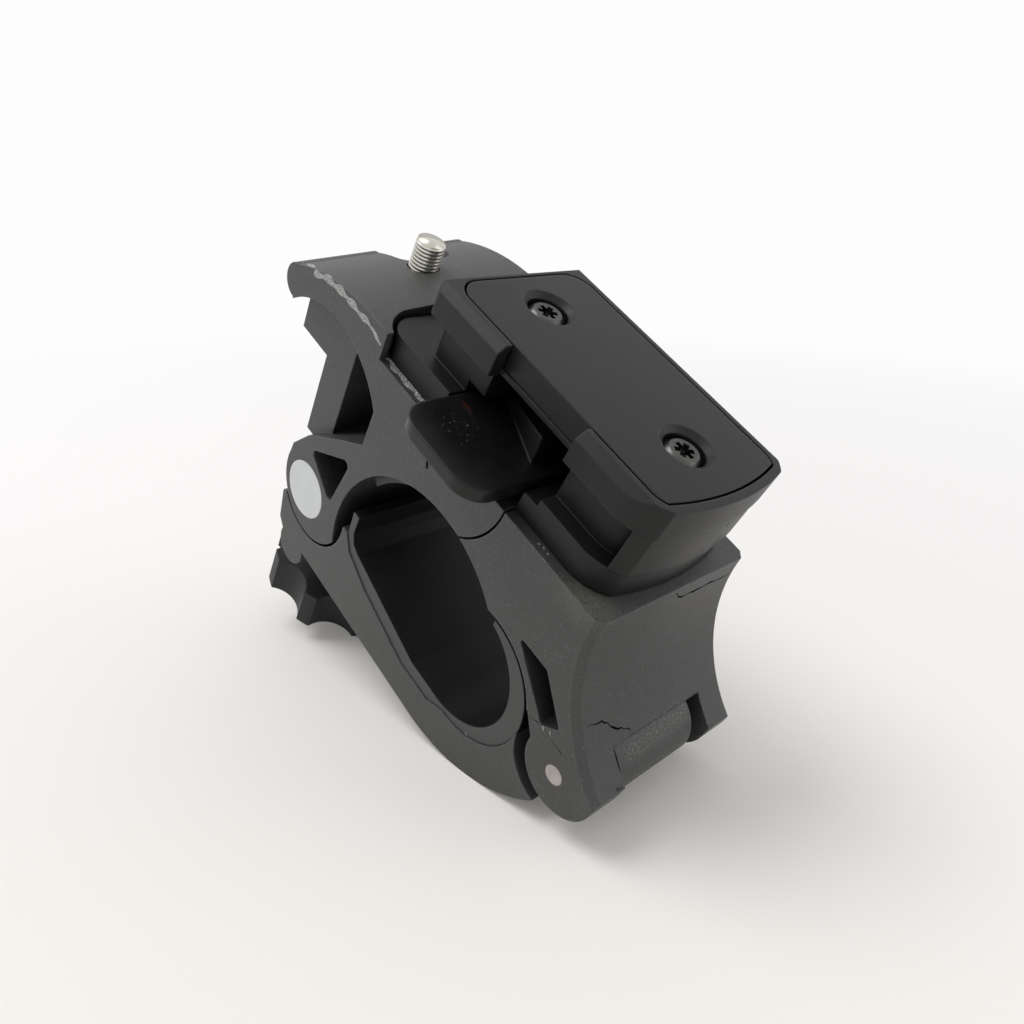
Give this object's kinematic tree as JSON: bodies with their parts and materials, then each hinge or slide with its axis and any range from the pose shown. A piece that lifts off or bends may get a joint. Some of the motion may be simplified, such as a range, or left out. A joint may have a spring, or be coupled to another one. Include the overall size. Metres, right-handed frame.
{
  "type": "bicycle light handlebar mount",
  "caption": "Handlebar mount for a bicycle light, with a hinged jaw, a swing bolt with a lobed hand knob and a slide base with a spring latch.",
  "frame": {"origin": "on the axis of the handlebar seat, halfway along the body", "axes": "+X from the swing bolt towards the hinge, +Y along the handlebar, away from the latch tab, +Z from the bar up to the slide base"},
  "size_m": [0.075, 0.0322, 0.0737],
  "materials": {
    "body_plastic": "sandy matt, glass-filled",
    "base_plastic": "satin",
    "latch_plastic": "glossy",
    "knob_plastic": "matt",
    "liner_rubber": "smooth",
    "barrel_plastic": "satin",
    "steel": "zinc plated",
    "black_steel": "black oxide",
    "brass": "knurled"
  },
  "bodies": {
    "frame": {"upper_body": "body_plastic", "hinge_arm": "body_plastic", "upper_liner": "liner_rubber", "hinge_pin": "steel", "stud": "steel", "stud_nut": "steel", "slide_base": "base_plastic", "cover_plate": "base_plastic", "cover_screw_far": "black_steel", "cover_screw_near": "black_steel", "insert_far": "brass", "insert_near": "brass", "latch_pin": "steel", "latch_spring": "steel"},
    "jaw": {"lower_jaw": "body_plastic", "jaw_liner": "liner_rubber"},
    "bolt": {"pivot_barrel": "barrel_plastic", "swing_bolt": "steel"},
    "runner": {"thrust_washer": "steel"},
    "knob": {"clamp_knob": "knob_plastic", "knob_nut": "steel"},
    "latch": {"latch": "latch_plastic"}
  },
  "joints": [
    {"name": "jaw_hinge", "type": "hinge", "parent": "frame", "child": "jaw", "pos_m": [0.0288, 0, 0.0047], "axis": [0, -1, 0], "range_deg": [0, 60]},
    {"name": "bolt_swing", "type": "hinge", "parent": "frame", "child": "bolt", "pos_m": [-0.025, 0, -0.0033], "axis": [0, 1, 0], "range_deg": [0, 90]},
    {"name": "knob_travel", "type": "slide", "parent": "bolt", "child": "runner", "axis": [0, 0, -1], "range_m": [0, 0.0112]},
    {"name": "knob_spin", "type": "hinge", "parent": "runner", "child": "knob", "pos_m": [-0.025, 0, -0.022], "axis": [0, 0, -1], "range_deg": [0, 5040]},
    {"name": "latch_press", "type": "hinge", "parent": "frame", "child": "latch", "pos_m": [-0.0006, 0.0074, 0.0282], "axis": [1, 0, 0], "range_deg": [0, 5], "stiffness_Nm_per_rad": 0.4, "springref_deg": -4.58, "deforming": ["latch_spring"]}
  ],
  "couplings": [
    {"joint": "knob_spin", "follows": "knob_travel", "rad_per_m": 7854},
    {"joint": "jaw_hinge", "follows": "knob_travel", "rad_per_m": 18.7}
  ]
}
